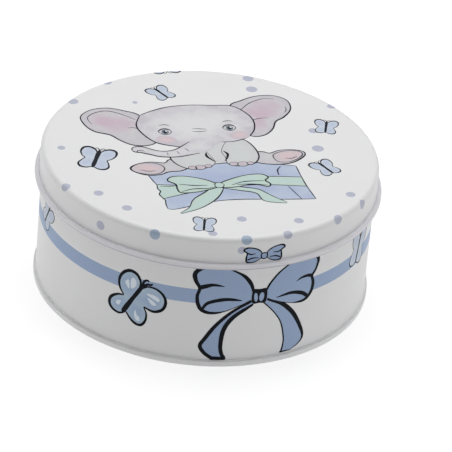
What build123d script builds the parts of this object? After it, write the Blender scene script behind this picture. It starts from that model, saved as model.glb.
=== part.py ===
"""A round cookie tin with a slip-on lid, made from thin tinplate.

The tin is three pressed pieces: a rolled body wall, a recessed bottom panel folded onto it in a
double seam, and a drawn lid whose skirt ends in an outward curl. The origin is the centre of the
face that the tin stands on, +Z points up, and -Y is the front. Lengths are in millimetres.
"""
from math import degrees, sqrt
import os

from build123d import *

# ---- driving dimensions ----
SHEET = 0.25  # tinplate gauge
TIN_HEIGHT = 82.0  # table to the top of the closed lid

LID_RADIUS = 95.0  # outside of the lid's skirt
LID_SHOULDER_RADIUS = 3.0  # rounded edge between the lid's top and its skirt, outside
LID_SKIRT_DEPTH = 18.6  # lid's top to the bottom of its curl
LID_CURL_RADIUS = 1.5  # outside of the curl on the skirt's edge

LID_SLIP = 0.8  # radial play between the skirt and the body wall
LID_REST_GAP = 0.2  # between the inside of the lid's shoulder and the body's top curl

BODY_CURL_RADIUS = 1.2  # outside of the curl round the body's mouth
CURL_SWEEP = 305.0  # degrees of turn in each curl, which stops short of closing on its wall

SEAM_HEIGHT = 3.6  # double seam round the base
SEAM_GAP = 0.2  # between the folded layers of the double seam
CHUCK_GAP = 0.1  # between the body wall and the bottom panel's upright wall
WEB_GAP = 0.1  # between the body's fold and the sheet under it
HOOK_CLEARANCE = 0.3  # between the end of each hook and the fold that it reaches into
SEAM_BEND_RADIUS = 0.6  # outside of the two bends that the tin stands on

PANEL_RECESS = 3.0  # table to the underside of the bottom panel's outer ring
PANEL_BEND_RADIUS = 0.8  # inside of the bend between the panel and its upright wall
PANEL_RING_WIDTH = 11.0  # from the upright wall to the stiffening step pressed into the panel
PANEL_STEP_HEIGHT = 0.6
PANEL_STEP_RUN = 2.0  # radial width of the step's slope

LAP_WIDTH = 4.0  # side seam, where the rolled wall's end laps inside
LAP_THICKNESS = 0.2
LAP_BITE = 0.1  # how far the lap's solid runs into the wall that it is welded to
LAP_MARGIN = 1.5  # notched away next to the curl and the bottom panel
LAP_ANGLE = 111.0  # degrees from +X, at the back of the tin

# ---- sizes that follow from them ----
lid_inner_radius = LID_RADIUS - SHEET
lid_underside = TIN_HEIGHT - SHEET
lid_curl_height = TIN_HEIGHT - LID_SKIRT_DEPTH + LID_CURL_RADIUS

shoulder_centre_radius = LID_RADIUS - LID_SHOULDER_RADIUS
shoulder_centre_height = TIN_HEIGHT - LID_SHOULDER_RADIUS

body_radius = lid_inner_radius - LID_SLIP
body_inner_radius = body_radius - SHEET

# The body's curl nests in the lid's shoulder, so its height follows from how far out it stands.
curl_reach = LID_SHOULDER_RADIUS - SHEET - LID_REST_GAP - BODY_CURL_RADIUS
curl_offset = max(body_radius - BODY_CURL_RADIUS - shoulder_centre_radius, 0)
body_curl_height = shoulder_centre_height + sqrt(curl_reach**2 - curl_offset**2)

fold_radius = SHEET + SEAM_GAP + SHEET / 2
fold_bottom = SHEET + WEB_GAP
body_fold_height = fold_bottom + fold_radius
rim_fold_height = SEAM_HEIGHT - fold_radius
body_hook_top = rim_fold_height - HOOK_CLEARANCE
cover_hook_bottom = body_fold_height + HOOK_CLEARANCE
body_hook_radius = body_inner_radius + 2 * fold_radius
seam_radius = body_radius + SEAM_GAP + 2 * fold_radius
chuck_radius = body_inner_radius - CHUCK_GAP - SHEET
step_end_radius = chuck_radius - PANEL_RING_WIDTH
panel_highest = PANEL_RECESS + PANEL_STEP_HEIGHT + SHEET


def draw_sheet(face):
    """Draws a sheet's section: its two faces, where face(depth) draws one, and its two ends."""
    near_start, near_end = face(0)
    far_start, far_end = face(SHEET)
    Line(near_start, far_start)
    Line(near_end, far_end)


def lid_face(depth):
    """Lid from its centre, over the shoulder and down the skirt to the curl; depth is outward."""
    centre = (0, lid_underside + depth)
    top = Line(centre, (shoulder_centre_radius, lid_underside + depth))
    shoulder = JernArc(top @ 1, top % 1, LID_SHOULDER_RADIUS - SHEET + depth, -90)
    skirt = Line(shoulder @ 1, (lid_inner_radius + depth, lid_curl_height))
    curl = JernArc(skirt @ 1, skirt % 1, LID_CURL_RADIUS - depth, CURL_SWEEP)
    return centre, curl @ 1


def body_face(depth):
    """Body wall from its hook in the double seam, up the wall to the curl; depth is outward."""
    hook_start = (body_hook_radius - depth, body_hook_top)
    hook = Line(hook_start, (body_hook_radius - depth, body_fold_height))
    fold = JernArc(hook @ 1, hook % 1, fold_radius - depth, -180)
    wall = Line(fold @ 1, (body_inner_radius + depth, body_curl_height))
    curl = JernArc(wall @ 1, wall % 1, BODY_CURL_RADIUS - SHEET + depth, CURL_SWEEP)
    return hook_start, curl @ 1


def bottom_face(depth):
    """Bottom panel from its centre, down its upright wall and round the seam; depth is inward."""
    raised = PANEL_RECESS + PANEL_STEP_HEIGHT + depth
    ring_height = PANEL_RECESS + depth
    centre = (0, raised)
    step_start = (step_end_radius - PANEL_STEP_RUN, raised)
    step_end = (step_end_radius, ring_height)
    Line(centre, step_start)
    Line(step_start, step_end)
    ring = Line(step_end, (chuck_radius - PANEL_BEND_RADIUS, ring_height))
    bend = JernArc(ring @ 1, ring % 1, PANEL_BEND_RADIUS + depth, -90)
    chuck = Line(bend @ 1, (chuck_radius + depth, SEAM_BEND_RADIUS))
    inner_bend = JernArc(chuck @ 1, chuck % 1, SEAM_BEND_RADIUS - depth, 90)
    foot = Line(inner_bend @ 1, (seam_radius - SEAM_BEND_RADIUS, depth))
    outer_bend = JernArc(foot @ 1, foot % 1, SEAM_BEND_RADIUS - depth, 90)
    rim = Line(outer_bend @ 1, (seam_radius - depth, rim_fold_height))
    fold = JernArc(rim @ 1, rim % 1, fold_radius - depth, 180)
    hook = Line(fold @ 1, (seam_radius - 2 * fold_radius + depth, cover_hook_bottom))
    return centre, hook @ 1


# ---- lid, one drawn shell ----
with BuildPart() as lid:
    with BuildSketch(Plane.XZ):
        with BuildLine():
            draw_sheet(lid_face)
        make_face()
    revolve(axis=Axis.Z)
lid.part.label = "lid"

# ---- body wall, with the lap of its side seam ----
with BuildPart() as body_wall:
    with BuildSketch(Plane.XZ):
        with BuildLine():
            draw_sheet(body_face)
        make_face()
    revolve(axis=Axis.Z)
    lap_bottom = panel_highest + LAP_MARGIN
    lap_top = body_curl_height - BODY_CURL_RADIUS - LAP_MARGIN
    lap_turn = degrees(LAP_WIDTH / body_inner_radius)
    lap_start = LAP_ANGLE - lap_turn / 2
    with BuildSketch(Plane.XY.offset(lap_bottom)):
        with BuildLine():
            outer = CenterArc((0, 0), body_inner_radius + LAP_BITE, lap_start, lap_turn)
            inner = CenterArc((0, 0), body_inner_radius - LAP_THICKNESS, lap_start, lap_turn)
            Line(outer @ 0, inner @ 0)
            Line(outer @ 1, inner @ 1)
        make_face()
    extrude(amount=lap_top - lap_bottom)
body_wall.part.label = "body_wall"

# ---- bottom panel, with its part of the double seam ----
with BuildPart() as bottom_panel:
    with BuildSketch(Plane.XZ):
        with BuildLine():
            draw_sheet(bottom_face)
        make_face()
    revolve(axis=Axis.Z)
bottom_panel.part.label = "bottom_panel"

os.makedirs("parts", exist_ok=True)
export_step(lid.part, "parts/lid.step")
export_step(body_wall.part, "parts/body_wall.step")
export_step(bottom_panel.part, "parts/bottom_panel.step")
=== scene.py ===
"""Looks of a round cookie tin: coated tinplate shells, and the picture printed on them in ink.

Every shape is worked out in millimetres with numpy and put into the mesh in metres. A printed shape is
drawn flat, as points (x, y) on the lid or (s, z) on an unrolled wall, and then laid on the metal.
"""
from math import cos, pi, radians, sin
from types import SimpleNamespace

import bpy
import numpy as np
from bpy.props import FloatProperty, FloatVectorProperty, IntProperty, PointerProperty
from mathutils import Matrix, Vector


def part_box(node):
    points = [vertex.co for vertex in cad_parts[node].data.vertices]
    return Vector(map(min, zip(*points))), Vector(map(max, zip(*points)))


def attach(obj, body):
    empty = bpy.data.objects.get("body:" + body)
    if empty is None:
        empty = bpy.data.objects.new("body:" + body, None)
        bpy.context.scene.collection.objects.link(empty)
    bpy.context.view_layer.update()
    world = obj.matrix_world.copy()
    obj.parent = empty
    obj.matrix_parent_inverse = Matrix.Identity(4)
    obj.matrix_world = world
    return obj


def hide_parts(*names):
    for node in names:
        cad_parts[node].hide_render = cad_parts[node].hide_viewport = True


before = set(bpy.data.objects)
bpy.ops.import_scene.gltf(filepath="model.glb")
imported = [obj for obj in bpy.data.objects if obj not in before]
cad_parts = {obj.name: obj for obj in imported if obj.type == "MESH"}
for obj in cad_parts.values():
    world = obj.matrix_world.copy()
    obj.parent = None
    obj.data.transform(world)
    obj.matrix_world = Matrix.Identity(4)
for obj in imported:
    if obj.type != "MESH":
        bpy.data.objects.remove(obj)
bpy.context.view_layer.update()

bl_info = {
    "name": "Cookie Tin",
    "version": (1, 0, 0),
    "blender": (4, 5, 0),
    "location": "View3D > Sidebar > Cookie Tin",
    "description": "Builds a round slip-lid cookie tin with a printed picture around its CAD frame",
    "category": "Object",
}

MM = 0.001
LID_LOW, LID_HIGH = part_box("lid")
WALL_LOW, WALL_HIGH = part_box("body_wall")
CREASE = radians(40.0)  # a sharper bend than this is an edge
SUNK = 0.08  # millimetres that a printed solid reaches into the coat under it
COLOUR_A, COLOUR_B, COLOUR_OUT = 6, 7, 2  # a Mix node's colour sockets, whose names others share


def linear(code):
    """Linear colour of an sRGB hex value: its dark end over 12.92, and the rest to a power of 2.4."""
    value = np.array([int(code[place:place + 2], 16) for place in (1, 3, 5)]) / 255
    return tuple(np.where(value <= 0.04045, value / 12.92, ((value + 0.055) / 1.055) ** 2.4))


# ---- settings that a user would change ----


def length(name, description, millimetres):
    """A length that a user may change, given in millimetres."""
    return FloatProperty(name=name, description=description, default=millimetres * MM, unit="LENGTH",
                         min=0.0, precision=5)


def colour(name, description, code):
    """A colour that a user may change, given as an sRGB hex value."""
    return FloatVectorProperty(name=name, description=description, default=linear(code),
                               subtype="COLOR", min=0.0, max=1.0)


class TinSizes(bpy.types.PropertyGroup):
    sheet: length("Sheet", "Thickness of the tinplate", 0.25)
    shoulder: length("Shoulder radius", "Outside radius of the lid's rounded edge", 3.0)
    lid_curl: length("Lid curl radius", "Outside radius of the curl on the lid's skirt", 1.5)
    body_curl: length("Body curl radius", "Outside radius of the curl round the body's mouth", 1.2)
    seam_gap: length("Seam gap", "Gap between the folded layers of the double seam", 0.2)
    seam_height: length("Seam height", "Height of the double seam round the base", 3.6)
    seam_bend: length("Seam bend radius", "Outside radius of the two bends that the tin stands on", 0.6)
    hook_gap: length("Hook gap", "From the end of each hook in the seam to the fold it reaches into", 0.3)
    recess: length("Recess", "Table to the underside of the bottom panel's outer ring", 3.0)
    panel_gap: length("Panel gap", "Between the body wall and the bottom panel's upright wall", 0.1)
    panel_bend: length("Panel bend radius", "Between the bottom panel and its upright wall", 0.8)
    ring_width: length("Ring width", "From the upright wall to the step pressed into the panel", 11.0)
    step_height: length("Step height", "Height of the step pressed into the bottom panel", 0.6)
    step_run: length("Step run", "Radial width of that step's slope", 2.0)
    lap_width: length("Lap width", "Width of the side seam's lap inside the body wall", 4.0)
    lap_thickness: length("Lap thickness", "How far the lap stands in from the wall", 0.2)
    lap_margin: length("Lap margin", "Notched away next to the curl and the bottom panel", 1.5)
    weld_width: length("Weld width", "Bare line along the outside of the side seam", 0.9)
    lap_angle: FloatProperty(name="Lap angle", description="Side seam's place round the tin, from +X",
                             default=radians(111.0), unit="ROTATION")
    ink: length("Ink step", "How far each printed layer stands above the one below", 0.02)
    lid_sweep: FloatProperty(name="Lid curl sweep", description="How far the lid's curl turns",
                             default=radians(325.0), unit="ROTATION")
    body_sweep: FloatProperty(name="Body curl sweep", description="How far the body's curl turns",
                              default=radians(305.0), unit="ROTATION")
    segments: IntProperty(name="Segments", description="Steps round each metal shell", default=480, min=48)


class TinColours(bpy.types.PropertyGroup):
    coat: colour("Coat", "White base coat of the lid and the body", "#E6E6E7")
    lacquer: colour("Lacquer", "White food lacquer inside the tin and on its curls", "#E7E6EB")
    # Painted shade: a grey that darkens the lacquer under the lid's curl.
    thin: colour("Painted curl shade", "Grey painted shade under the lid's curl", "#83818D")
    metal: colour("Bare tinplate", "Cut edges and the welded side seam", "#C9C8C6")
    compound: colour("Compound", "Sealing compound in the double seam", "#F3F3F4")
    line: colour("Line", "Ink of the fine outlines", "#25282F")
    brush: colour("Brush line", "Ink of the broad brush outlines", "#0B0F17")
    hide: colour("Hide", "Wash on the elephant's ears and legs", "#CBCACD")
    crown: colour("Crown", "Pale middle of the wash on the elephant's head", "#DADADC")
    shade: colour("Hide edge", "Lilac grey that the elephant's wash runs to", "#C3BFC7")
    pale: colour("Pale hide", "Wash on the elephant's belly and arms", "#CED1D2")
    rose: colour("Rose", "Wash in the ears", "#C7B5C1")
    blush: colour("Blush", "Wash on the cheeks and soles", "#D4C1C5")
    iris: colour("Iris", "Slate wash in the eyes", "#6F7A84")
    box: colour("Box", "Wash on the gift box", "#AAB6D2")
    mint: colour("Mint", "Wash on the gift box's ribbon", "#BED3CE")
    leaf: colour("Leaf", "Greener tone that the mint wash runs to", "#C0D2C6")
    wing: colour("Wing", "Wash on the small butterflies", "#BCC7DA")
    mist: colour("Mist", "Paler tone that the small butterflies' wash runs to", "#CBD3DD")
    dot: colour("Dot", "Lilac grey ink of the scattered dots", "#B7BACA")
    blue_dot: colour("Blue dot", "Ink of the dots on the front edge of the lid", "#A3B3C7")
    ribbon: colour("Ribbon", "Blue of the band and bows on the body", "#96ABCB")
    sky: colour("Sky", "Wash on the large butterfly", "#9BB1CE")
    lagoon: colour("Lagoon", "Greyer blue that the large butterfly's wash runs to", "#AEC2D2")
    shine: colour("Shine", "Pale marks on the large butterfly", "#DCE5EE")


class TinStudio(bpy.types.PropertyGroup):
    lens: FloatProperty(name="Lens", description="Focal length in millimetres", default=288.3)
    distance: length("Distance", "Camera to the middle of the tin's base", 2068.0)
    elevation: FloatProperty(name="Elevation", description="Camera above the horizon",
                             default=radians(31.69), unit="ROTATION")
    roll: FloatProperty(name="Roll", description="Turn of the camera about its line of sight",
                        default=radians(5.13), unit="ROTATION")
    aim: FloatVectorProperty(name="Aim", description="Point that the camera looks at",
                             default=(12.3 * MM, 0.0, 34.0 * MM), unit="LENGTH")
    overhead: FloatProperty(name="Overhead light", description="Power in watts", default=16.9)
    left: FloatProperty(name="Left light", description="Power in watts", default=2.2)
    right: FloatProperty(name="Right light", description="Power in watts", default=2.5)
    sky: FloatProperty(name="Room light", description="Strength of the even light", default=0.08)
    table: FloatProperty(name="Table light", description="The opal table's own glow", default=0.72)


def shop_sizes():
    """Sizes in millimetres that follow from the settings and the frame's boxes, as in the CAD model."""
    chosen = bpy.context.scene.tin_sizes
    mm = SimpleNamespace(**{key: getattr(chosen, key) / MM for key in (
        "sheet", "shoulder", "lid_curl", "body_curl", "seam_gap", "seam_height", "seam_bend", "hook_gap",
        "recess", "panel_gap", "panel_bend", "ring_width", "step_height", "step_run", "lap_width",
        "lap_thickness", "lap_margin", "weld_width", "ink")})
    mm.lid_sweep, mm.body_sweep = np.degrees(chosen.lid_sweep), np.degrees(chosen.body_sweep)
    mm.lap_angle = chosen.lap_angle
    mm.segments = chosen.segments
    mm.top = LID_HIGH[2] / MM
    mm.lid_inner = round(LID_HIGH[0] / MM, 2) - 2 * mm.lid_curl
    mm.lid_radius = mm.lid_inner + mm.sheet
    mm.lid_curl_height = LID_LOW[2] / MM + mm.lid_curl
    mm.fold = mm.sheet * 1.5 + mm.seam_gap
    mm.wall_inner = round(WALL_HIGH[0] / MM, 2) - 2 * mm.fold
    mm.wall_radius = mm.wall_inner + mm.sheet
    mm.body_curl_height = WALL_HIGH[2] / MM - mm.body_curl
    mm.wall_foot = WALL_LOW[2] / MM
    mm.seam_radius = mm.wall_radius + mm.seam_gap + 2 * mm.fold
    return mm


# ---- flat curves, as arrays of points in millimetres ----


def line(start, end, steps=1):
    """Straight run: start plus t times the way to end."""
    t = np.linspace(0, 1, steps + 1)[:, None]
    return np.array(start) * (1 - t) + np.array(end) * t


def arc(centre, radius, start, sweep, steps=10):
    """Circle arc: centre plus radius times (cos a, sin a), with a from start through sweep, in degrees."""
    a = np.radians(start + sweep * np.linspace(0, 1, steps + 1))
    return np.array(centre) + radius * np.stack([np.cos(a), np.sin(a)], axis=1)


def path(*pieces):
    """Joins runs end to end, leaving out each start that repeats the end before it."""
    points = np.concatenate(pieces)
    step = np.linalg.norm(np.diff(points, axis=0), axis=1)
    return points[np.concatenate([[True], step > 1e-7])]


def smooth(points, closed=False, steps=10):
    """Curve through the points: a cubic between two of them, whose slope at each point is half the step
    between that point's neighbours."""
    p = np.array(points, float)
    if closed:
        p = np.concatenate([p[-1:], p, p[:2]])
    else:
        p = np.concatenate([2 * p[:1] - p[1:2], p, 2 * p[-1:] - p[-2:-1]])
    t = np.linspace(0, 1, steps, endpoint=False)[None, :, None]
    before, here, there, after = (p[k:len(p) - 3 + k, None, :] for k in range(4))
    cubic = (2 * here + (there - before) * t + (2 * before - 5 * here + 4 * there - after) * t ** 2
             + (3 * here - before - 3 * there + after) * t ** 3) / 2
    curve = cubic.reshape(-1, 2)
    return curve if closed else np.concatenate([curve, p[-2:-1]])


def shares(count):
    """count shares from 0 to 1, a little closer near both ends: six parts even and four parts cosine."""
    t = np.linspace(0, 1, count)
    return 0.6 * t + 0.4 * (1 - np.cos(pi * t)) / 2


def evenly(points, count, closed=False):
    """The same curve with count points: even by length if it is closed, or at those shares if open."""
    if closed:
        points = np.concatenate([points, points[:1]])
    far = np.concatenate([[0], np.cumsum(np.linalg.norm(np.diff(points, axis=0), axis=1))])
    t = np.linspace(0, 1, count, endpoint=False) if closed else shares(count)
    return np.stack([np.interp(t * far[-1], far, points[:, k]) for k in (0, 1)], axis=1)


def placed(points, centre=(0, 0), size=1.0, turn=0.0, squeeze=1.0):
    """Points scaled, squeezed across, turned by degrees anticlockwise and moved to centre."""
    p = np.array(points, float) * (size * squeeze, size)
    c, s = cos(radians(turn)), sin(radians(turn))
    return p @ np.array([[c, s], [-s, c]]) + np.array(centre)


def oval(centre, size, turn=0.0, squeeze=1.0, count=24):
    """Round outline of count points: a unit circle, placed."""
    return placed(arc((0, 0), 1, 0, 360, count)[:-1], centre, size, turn, squeeze)


# ---- printed shapes: each is a closed grid of rows and columns, laid flat ----


def fill(outline, ink, layer=1, centre=None, rings=5, count=72):
    """Filled outline: ring k is the outline drawn in towards the centre by k parts in rings."""
    edge = evenly(np.array(outline, float), count, closed=True)
    middle = edge.mean(axis=0) if centre is None else np.array(centre, float)
    share = (np.arange(rings + 1) / rings)[:, None, None]
    rows = middle + share * (edge - middle)
    return SimpleNamespace(rows=rows, wash=np.broadcast_to(share[..., 0], rows.shape[:2]), ink=ink,
                           layer=layer, around=True, pole=True)


def band(left, right, ink, layer=1, across=4, count=40):
    """Ruled shape: row k lies k parts in across of the way from the left edge to the right one."""
    left, right = evenly(np.array(left, float), count), evenly(np.array(right, float), count)
    share = (np.arange(across + 1) / across)[:, None, None]
    rows = left * (1 - share) + right * share
    wash = np.abs(2 * share[..., 0] - 1)
    return SimpleNamespace(rows=rows, wash=np.broadcast_to(wash, rows.shape[:2]), ink=ink, layer=layer,
                           around=False, pole=False)


def patch(top, bottom, left, right, ink, layer=1):
    """Four-sided shape: the surface ruled from top to bottom, plus the one ruled from left to right,
    less the one ruled between the four corners."""
    u, v = shares(40)[None, :, None], shares(20)[:, None, None]
    top, bottom = evenly(top, 40)[None], evenly(bottom, 40)[None]
    left, right = evenly(left, 20)[:, None], evenly(right, 20)[:, None]
    corners = ((1 - v) * ((1 - u) * top[:, :1] + u * top[:, -1:])
               + v * ((1 - u) * bottom[:, :1] + u * bottom[:, -1:]))
    rows = (1 - v) * top + v * bottom + (1 - u) * left + u * right - corners
    wash = np.maximum(np.abs(2 * u - 1), np.abs(2 * v - 1))[..., 0]
    return SimpleNamespace(rows=rows, wash=wash, ink=ink, layer=layer, around=False, pole=False)


def stroke(curve, widths, ink, layer=2, closed=False, count=48):
    """Brush stroke: two edges half a width to each side of the curve, rounded off at open ends.

    The widths are spread evenly along the curve. At an open end the half width follows a circle's arc.
    """
    least = 0.02  # half width left at the very tip, so that the stroke stays a solid
    curve = evenly(np.array(curve, float), count, closed)
    if closed:
        way = np.roll(curve, -1, axis=0) - np.roll(curve, 1, axis=0)
        widths = list(np.atleast_1d(widths)) + [np.atleast_1d(widths)[0]]
        t = np.linspace(0, 1, count, endpoint=False)
    else:
        way = np.gradient(curve, axis=0)
        t = np.linspace(0, 1, count)
    widths = np.atleast_1d(widths)
    half = np.interp(t, np.linspace(0, 1, len(widths)), widths) / 2
    if not closed:
        far = np.concatenate([[0], np.cumsum(np.linalg.norm(np.diff(curve, axis=0), axis=1))])
        near = np.minimum(far, far[-1] - far) / np.maximum(half, 2.5 * least)
        half = np.maximum(half * np.sqrt(1 - (1 - np.minimum(near, 1)) ** 2), least)
    side = np.stack([-way[:, 1], way[:, 0]], axis=1)
    side *= (half / np.maximum(np.linalg.norm(side, axis=1), 1e-9))[:, None]
    rows = np.stack([curve - side, curve, curve + side])
    return SimpleNamespace(rows=rows, wash=np.zeros(rows.shape[:2]), ink=ink, layer=layer,
                           around=closed, pole=False)


def disc(centre, radius, ink, layer=1.5):
    """Round dot, in rings fine enough to bend over the lid's shoulder."""
    return fill(arc(centre, radius, 0, 360, 48)[:-1], ink, layer, centre=centre, rings=8, count=48)


def on_lid(mm):
    """Lays (x, y) on the lid: flat inside the shoulder, then round its arc and down the skirt."""
    flat = mm.lid_radius - mm.shoulder
    quarter = mm.shoulder * pi / 2

    def lay(points, lift):
        reach = np.linalg.norm(points, axis=-1)
        turn = np.clip((reach - flat) / mm.shoulder, 0, pi / 2)
        radius = np.minimum(reach, flat) + (mm.shoulder + lift) * np.sin(turn)
        down = np.maximum(reach - flat - quarter, 0)
        z = mm.top - mm.shoulder + (mm.shoulder + lift) * np.cos(turn) - down
        aim = points / np.maximum(reach, 1e-9)[..., None]
        return np.concatenate([aim * radius[..., None], z[..., None]], axis=-1)

    return lay


def on_wall(radius):
    """Lays (s, z) on a round wall: s runs to the right round the front, which faces -Y."""

    def lay(points, lift):
        a = points[..., 0] / radius
        out = radius + lift
        return np.stack([out * np.sin(a), -out * np.cos(a), points[..., 1]], axis=-1)

    return lay


# ---- meshes ----


def grid_faces(rows, columns, around, closed_rows=False):
    """Faces of a grid whose point (i, j) is number i times columns plus j."""
    i = np.arange(rows if closed_rows else rows - 1)[:, None]
    j = np.arange(columns if around else columns - 1)[None, :]
    below, beside = (i + 1) % rows, (j + 1) % columns
    faces = [i * columns + j, below * columns + j, below * columns + beside, i * columns + beside]
    return np.stack(np.broadcast_arrays(*faces), axis=-1).reshape(-1, 4)


def pole_faces(pole, ring_start, columns, reverse):
    """Triangles from a pole to the ring of points that starts at ring_start."""
    j = np.arange(columns)
    a, b = ring_start + j, ring_start + (j + 1) % columns
    return np.stack([np.full(columns, pole), b, a] if reverse else [np.full(columns, pole), a, b], axis=-1)


def add_mesh(name, points, faces, picks, materials, wash=None):
    """A mesh object from points in millimetres, faces, each face's material and a value for each point."""
    mesh = bpy.data.meshes.new(name)
    mesh.from_pydata((points * MM).tolist(), [], faces)
    for material in materials:
        mesh.materials.append(material)
    mesh.polygons.foreach_set("material_index", np.asarray(picks, dtype=np.int32))
    mesh.shade_smooth()
    mesh.set_sharp_from_angle(angle=CREASE)
    if wash is not None:
        values = mesh.attributes.new("wash", "FLOAT", "POINT")
        values.data.foreach_set("value", np.asarray(wash, dtype=np.float32))
    mesh.validate()
    mesh.update()
    piece = bpy.data.objects.new(name, mesh)
    bpy.context.scene.collection.objects.link(piece)
    return piece


def turned(name, section, picks, materials, segments, on_axis):
    """A section turned about Z: point (r, z) at angle a lies at (r cos a, r sin a, z).

    picks gives the material of each step along the section. A section that starts and ends on the axis
    closes with a pole at each end, and any other closes on itself.
    """
    a = np.arange(segments) * (2 * pi / segments)
    r, z = section[:, :1], section[:, 1:]
    rings = np.stack([r * np.cos(a), r * np.sin(a), np.broadcast_to(z, (len(r), segments))], axis=-1)
    if on_axis:
        body = rings[1:-1]
        rows = len(body)
        points = np.concatenate([body.reshape(-1, 3), rings[0, :1], rings[-1, :1]])
        faces = grid_faces(rows, segments, True).tolist()
        faces += pole_faces(rows * segments, 0, segments, False).tolist()
        faces += pole_faces(rows * segments + 1, (rows - 1) * segments, segments, True).tolist()
        face_picks = np.concatenate([np.repeat(picks[1:-1], segments), np.full(segments, picks[0]),
                                     np.full(segments, picks[-1])])
    else:
        points = rings.reshape(-1, 3)
        faces = grid_faces(len(r), segments, True, closed_rows=True).tolist()
        face_picks = np.repeat(picks, segments)
    return add_mesh(name, points, faces, face_picks, materials)


def turns_left(rows, around):
    """Area of a flat grid, above zero if its columns run anticlockwise as seen from the first row: half
    the cross product of each cell's diagonals, summed."""
    if around:
        rows = np.concatenate([rows, rows[:, :1]], axis=1)
    one, other = rows[1:, 1:] - rows[:-1, :-1], rows[:-1, 1:] - rows[1:, :-1]
    return np.sum(one[..., 0] * other[..., 1] - one[..., 1] * other[..., 0]) / 2


def printed(name, shapes, lay, inks, mm):
    """One piece of ink: every flat shape is laid on the metal as a thin closed solid.

    The shape's top is its grid lifted by its layer. The same grid, sunk into the coat, closes it.
    """
    points, faces, picks, washes, start = [], [], [], [], 0
    for shape in shapes:
        rows = shape.rows
        wash = shape.wash
        if turns_left(rows, shape.around) < 0:
            rows, wash = rows[:, ::-1], wash[:, ::-1]
        count, columns = rows.shape[:2]
        top, bottom = lay(rows, shape.layer * mm.ink), lay(rows, -SUNK)
        loop = np.concatenate([top, bottom[::-1]])
        wash = np.concatenate([wash, wash[::-1]])
        if shape.pole:
            ring = loop[1:-1]
            own = np.concatenate([ring.reshape(-1, 3), loop[0, :1], loop[-1, :1]])
            size = len(ring) * columns
            own_faces = grid_faces(len(ring), columns, True).tolist()
            own_faces += pole_faces(size, 0, columns, False).tolist()
            own_faces += pole_faces(size + 1, size - columns, columns, True).tolist()
            washes.append(np.concatenate([wash[1:-1].ravel(), [0.0, 0.0]]))
        else:
            own = loop.reshape(-1, 3)
            own_faces = grid_faces(len(loop), columns, shape.around, closed_rows=True).tolist()
            if not shape.around:
                k = np.arange(count - 1)
                cap = np.stack([k, k + 1, 2 * count - 2 - k, 2 * count - 1 - k], axis=-1) * columns
                own_faces += cap[:, ::-1].tolist() + (cap + columns - 1).tolist()
            washes.append(wash.ravel())
        points.append(own)
        faces += [[start + corner for corner in face] for face in own_faces]
        picks += [list(inks).index(shape.ink)] * len(own_faces)
        start += len(own)
    return add_mesh(name, np.concatenate(points), faces, picks, list(inks.values()),
                    np.concatenate(washes))


# ---- materials ----


def node(tree, kind, settings=None, links=None):
    """Adds a node, sets its sockets by name or number and its own settings by name, and links sockets to
    earlier outputs."""
    made = tree.nodes.new(kind)
    for key, value in (settings or {}).items():
        if isinstance(key, int) or key in made.inputs:
            made.inputs[key].default_value = value
        else:
            setattr(made, key, value)
    for key, output in (links or {}).items():
        tree.links.new(output, made.inputs[key])
    return made


def new_material(name):
    """A material with its node tree and its shader."""
    material = bpy.data.materials.new(name)
    material.use_nodes = True
    return material, material.node_tree, material.node_tree.nodes["Principled BSDF"]


def set_sockets(shader, values):
    """Sets constants on the shader's own sockets."""
    for key, value in values.items():
        shader.inputs[key].default_value = value


def toned(base, factor):
    """The colour times factor, up to white, with an alpha of 1."""
    return (*[min(c * factor, 1) for c in base], 1)


def coated(name, base, roughness=0.46, gloss=0.12, mottle=0.02, thin=None):
    """Tinplate under a white base coat and a satin varnish, as a litho press leaves it.

    The varnish gives a soft even sheen over an almost flat white. It levels to a faint ripple about
    2 mm apart, drawn coarser than the real 0.5 mm so that it shows, and the coat's tone drifts by a
    percent or two over some 30 mm. thin is painted shade: a greyer colour and the two heights
    between which the coat darkens to it by height, standing in for the shade under a curl.
    """
    material, tree, shader = new_material(name)
    where = node(tree, "ShaderNodeTexCoord").outputs["Object"]
    drift = node(tree, "ShaderNodeTexNoise", {"Scale": 1 / 0.030, "Detail": 3.0}, {"Vector": where})
    tone = node(tree, "ShaderNodeMix", {"data_type": "RGBA", COLOUR_A: toned(base, 1 - mottle),
                                        COLOUR_B: toned(base, 1 + mottle)}, {"Factor": drift.outputs["Fac"]})
    ripple = node(tree, "ShaderNodeTexNoise", {"Scale": 1 / 0.002, "Detail": 2.0}, {"Vector": where})
    bump = node(tree, "ShaderNodeBump", {"Strength": 0.04, "Distance": 0.00005},
                {"Height": ripple.outputs["Fac"]})
    # Painted shade: between the two heights the coat darkens towards the grey, and below them it is grey,
    # standing in for the shade under the lid's curl.
    if thin:
        grey, high, low = thin
        height = node(tree, "ShaderNodeSeparateXYZ", links={"Vector": where}).outputs["Z"]
        share = node(tree, "ShaderNodeMapRange", {"From Min": high, "From Max": low}, {"Value": height})
        tone = node(tree, "ShaderNodeMix", {"data_type": "RGBA", COLOUR_B: (*grey, 1)},
                    {"Factor": share.outputs["Result"], COLOUR_A: tone.outputs[COLOUR_OUT]})
    tree.links.new(tone.outputs[COLOUR_OUT], shader.inputs["Base Color"])
    tree.links.new(bump.outputs["Normal"], shader.inputs["Normal"])
    set_sockets(shader, {"Roughness": roughness, "IOR": 1.5, "Specular IOR Level": 0.35,
                         "Coat Weight": gloss, "Coat Roughness": 0.25})
    return material


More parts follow.
